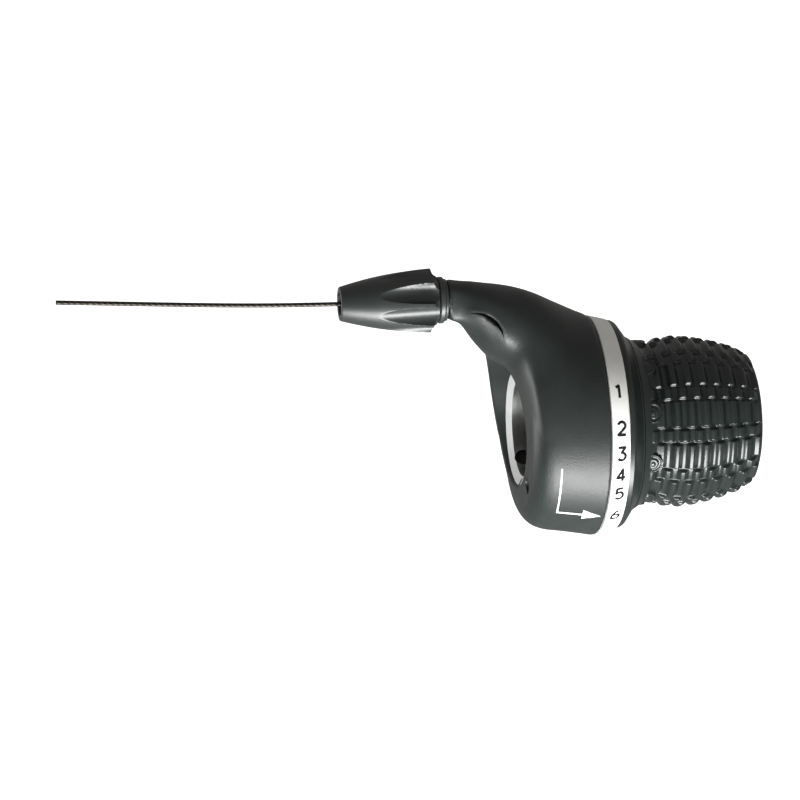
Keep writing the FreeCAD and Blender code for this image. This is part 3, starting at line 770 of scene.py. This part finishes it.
def shift_wire(material):
    """The bare end of the shift wire, out of the barrel and rising a little to its cut end."""
    exit_point = (WIRE_HIGH[0], HORN_Y, HORN_Z)
    end_point = (WIRE_LOW[0], HORN_Y, HORN_Z)
    curve = bpy.data.curves.new("shift_wire", "CURVE")
    curve.dimensions = "3D"
    curve.bevel_depth = WIRE_DIAMETER / 2
    curve.bevel_resolution = 6
    curve.use_fill_caps = True
    spline = curve.splines.new("NURBS")
    spans = len(WIRE_RISES) - 1
    route = [Vector(exit_point).lerp(Vector(end_point), step / spans) + Z * (rise * MM)
             for step, rise in enumerate(WIRE_RISES)]
    spline.points.add(len(route) - 1)
    for point, place in zip(spline.points, route):
        point.co = (*place, 1.0)
    spline.order_u = 3
    spline.use_endpoint_u = True
    wire = bpy.data.objects.new("shift_wire", curve)
    bpy.context.scene.collection.objects.link(wire)
    curve.materials.append(material)
    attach(wire, "shift_wire")
    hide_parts("inner_wire_free")
    return wire


# ---------------------------------------------------------------- studio

VIEW_AZIMUTH = -9.0
VIEW_ROLL = 2.5
VIEW_DISTANCE = 0.85
IMAGE_SIZE = 800
SCALE_PER_M = 4350.0
ORIGIN_RIGHT = 0.0268
ORIGIN_DOWN = 0.00644

# The backdrop in metres: a flat floor, a quarter-round sweep and a wall behind
FLOOR_DROP = 0.3
FLOOR_FRONT = -1.5
SWEEP_START = 0.5
SWEEP_R = 0.5
SWEEP_STEPS = 12
WALL_TOP = 2.5
BACKDROP_HALF_WIDTH = 3.0

# The world's strength as light on the part, and as the camera sees it
WORLD_LIGHT = 0.3
WORLD_SEEN = 0.85
LIGHT_AIM = (0.01, 0, 0.0)


def camera():
    """A long lens level with the handlebar, turned a little to the inboard side and rolled a little."""
    turn = math.radians(VIEW_AZIMUTH)
    forward = Vector((-math.sin(turn), math.cos(turn), 0))
    level = Vector((math.cos(turn), math.sin(turn), 0))
    roll = math.radians(VIEW_ROLL)
    right = level * math.cos(roll) - Z * math.sin(roll)
    up = level * math.sin(roll) + Z * math.cos(roll)
    aim = -right * ORIGIN_RIGHT + up * ORIGIN_DOWN
    data = bpy.data.cameras.new("camera")
    data.sensor_width = 36.0
    data.lens = SCALE_PER_M * VIEW_DISTANCE * data.sensor_width / IMAGE_SIZE
    eye = bpy.data.objects.new("camera", data)
    bpy.context.scene.collection.objects.link(eye)
    basis = Matrix((right, up, -forward)).transposed().to_4x4()
    eye.matrix_world = Matrix.Translation(aim - forward * VIEW_DISTANCE) @ basis
    data.clip_start = 0.01
    bpy.context.scene.camera = eye


def area_light(name, place, aim, width, height, power):
    """A soft box aimed at a point."""
    data = bpy.data.lights.new(name, "AREA")
    data.shape = "RECTANGLE"
    data.size = width
    data.size_y = height
    data.energy = power
    light = bpy.data.objects.new(name, data)
    bpy.context.scene.collection.objects.link(light)
    light.location = place
    light.rotation_euler = (Vector(aim) - Vector(place)).to_track_quat("-Z", "Y").to_euler()


def backdrop_paper():
    """White paper that also glows white to the camera alone, so that it is pure white round the part."""
    material = bpy.data.materials.new("backdrop")
    material.use_nodes = True
    tree = material.node_tree
    shader = tree.nodes["Principled BSDF"]
    shader.inputs["Base Color"].default_value = (0.85, 0.85, 0.85, 1)
    shader.inputs["Roughness"].default_value = 0.9
    shader.inputs["Emission Color"].default_value = (1, 1, 1, 1)
    path = tree.nodes.new("ShaderNodeLightPath")
    tree.links.new(path.outputs["Is Camera Ray"], shader.inputs["Emission Strength"])
    return material


def backdrop():
    """A pale floor well below the part that sweeps up into a wall."""
    floor_z = SHELL_LOW[2] - FLOOR_DROP
    profile = [(FLOOR_FRONT, 0.0), (SWEEP_START, 0.0)]
    for step in range(1, SWEEP_STEPS + 1):
        angle = math.radians(90 * step / SWEEP_STEPS)
        profile.append((SWEEP_START + SWEEP_R * math.sin(angle), SWEEP_R * (1 - math.cos(angle))))
    profile.append((SWEEP_START + SWEEP_R, WALL_TOP))
    vertices = []
    for y, z in profile:
        vertices += [(-BACKDROP_HALF_WIDTH, y, floor_z + z), (BACKDROP_HALF_WIDTH, y, floor_z + z)]
    faces = [(2 * k, 2 * k + 1, 2 * k + 3, 2 * k + 2) for k in range(len(profile) - 1)]
    mesh = bpy.data.meshes.new("backdrop")
    mesh.from_pydata(vertices, [], faces)
    for face in mesh.polygons:
        face.use_smooth = True
    sweep = bpy.data.objects.new("backdrop", mesh)
    bpy.context.scene.collection.objects.link(sweep)
    mesh.materials.append(backdrop_paper())


def world_light():
    """A faint, slightly warm light from all round, which the camera sees brighter than the part does."""
    world = bpy.data.worlds.new("studio")
    world.use_nodes = True
    tree = world.node_tree
    background = tree.nodes["Background"]
    background.inputs["Color"].default_value = (1.0, 0.985, 0.95, 1)
    path = tree.nodes.new("ShaderNodeLightPath")
    strength = span(tree, path.outputs["Is Camera Ray"], WORLD_LIGHT, WORLD_SEEN)
    tree.links.new(strength, background.inputs["Strength"])
    bpy.context.scene.world = world


def studio():
    """Backdrop, world, plain colour handling and three soft boxes."""
    backdrop()
    world_light()
    bpy.context.scene.view_settings.view_transform = "Standard"
    area_light("key", (0.01, -0.15, -0.24), LIGHT_AIM, 0.26, 0.13, 2.6)
    area_light("side", (-0.42, 0.17, 0.02), LIGHT_AIM, 0.2, 0.2, 0.9)
    area_light("front", (0.1, -0.8, 0.1), LIGHT_AIM, 0.5, 0.5, 0.2)


# ---------------------------------------------------------------- build

camera()
studio()
finishes = make_materials()
for subpart in frame["record"]["subparts"]:
    paint(NODES[subpart["node"]], finishes[subpart["material_slot"]])
# The clamp screw is painted near black, partly as painted shade for its dark hole.
paint(NODES["clamp_screw"], finishes["black_steel_and_painted_shade"])
shift_wire(finishes["wire_steel"])
paint(housing(), finishes["housing_plastic"])
clamp_sleeve(finishes["sleeve_metal"], finishes["sleeve_lip_painted_highlight"])
for mark in arrow_marks():
    paint(mark, finishes["print_white"])
paint(number_ring(), finishes["ring_plastic"])
for number, degrees in GEAR_ARCS:
    digit(number, degrees)
paint(rubber_grip(), finishes["grip_rubber"])
paint(barrel(), finishes["knob_plastic"])
paint(collar(), finishes["knob_plastic"])
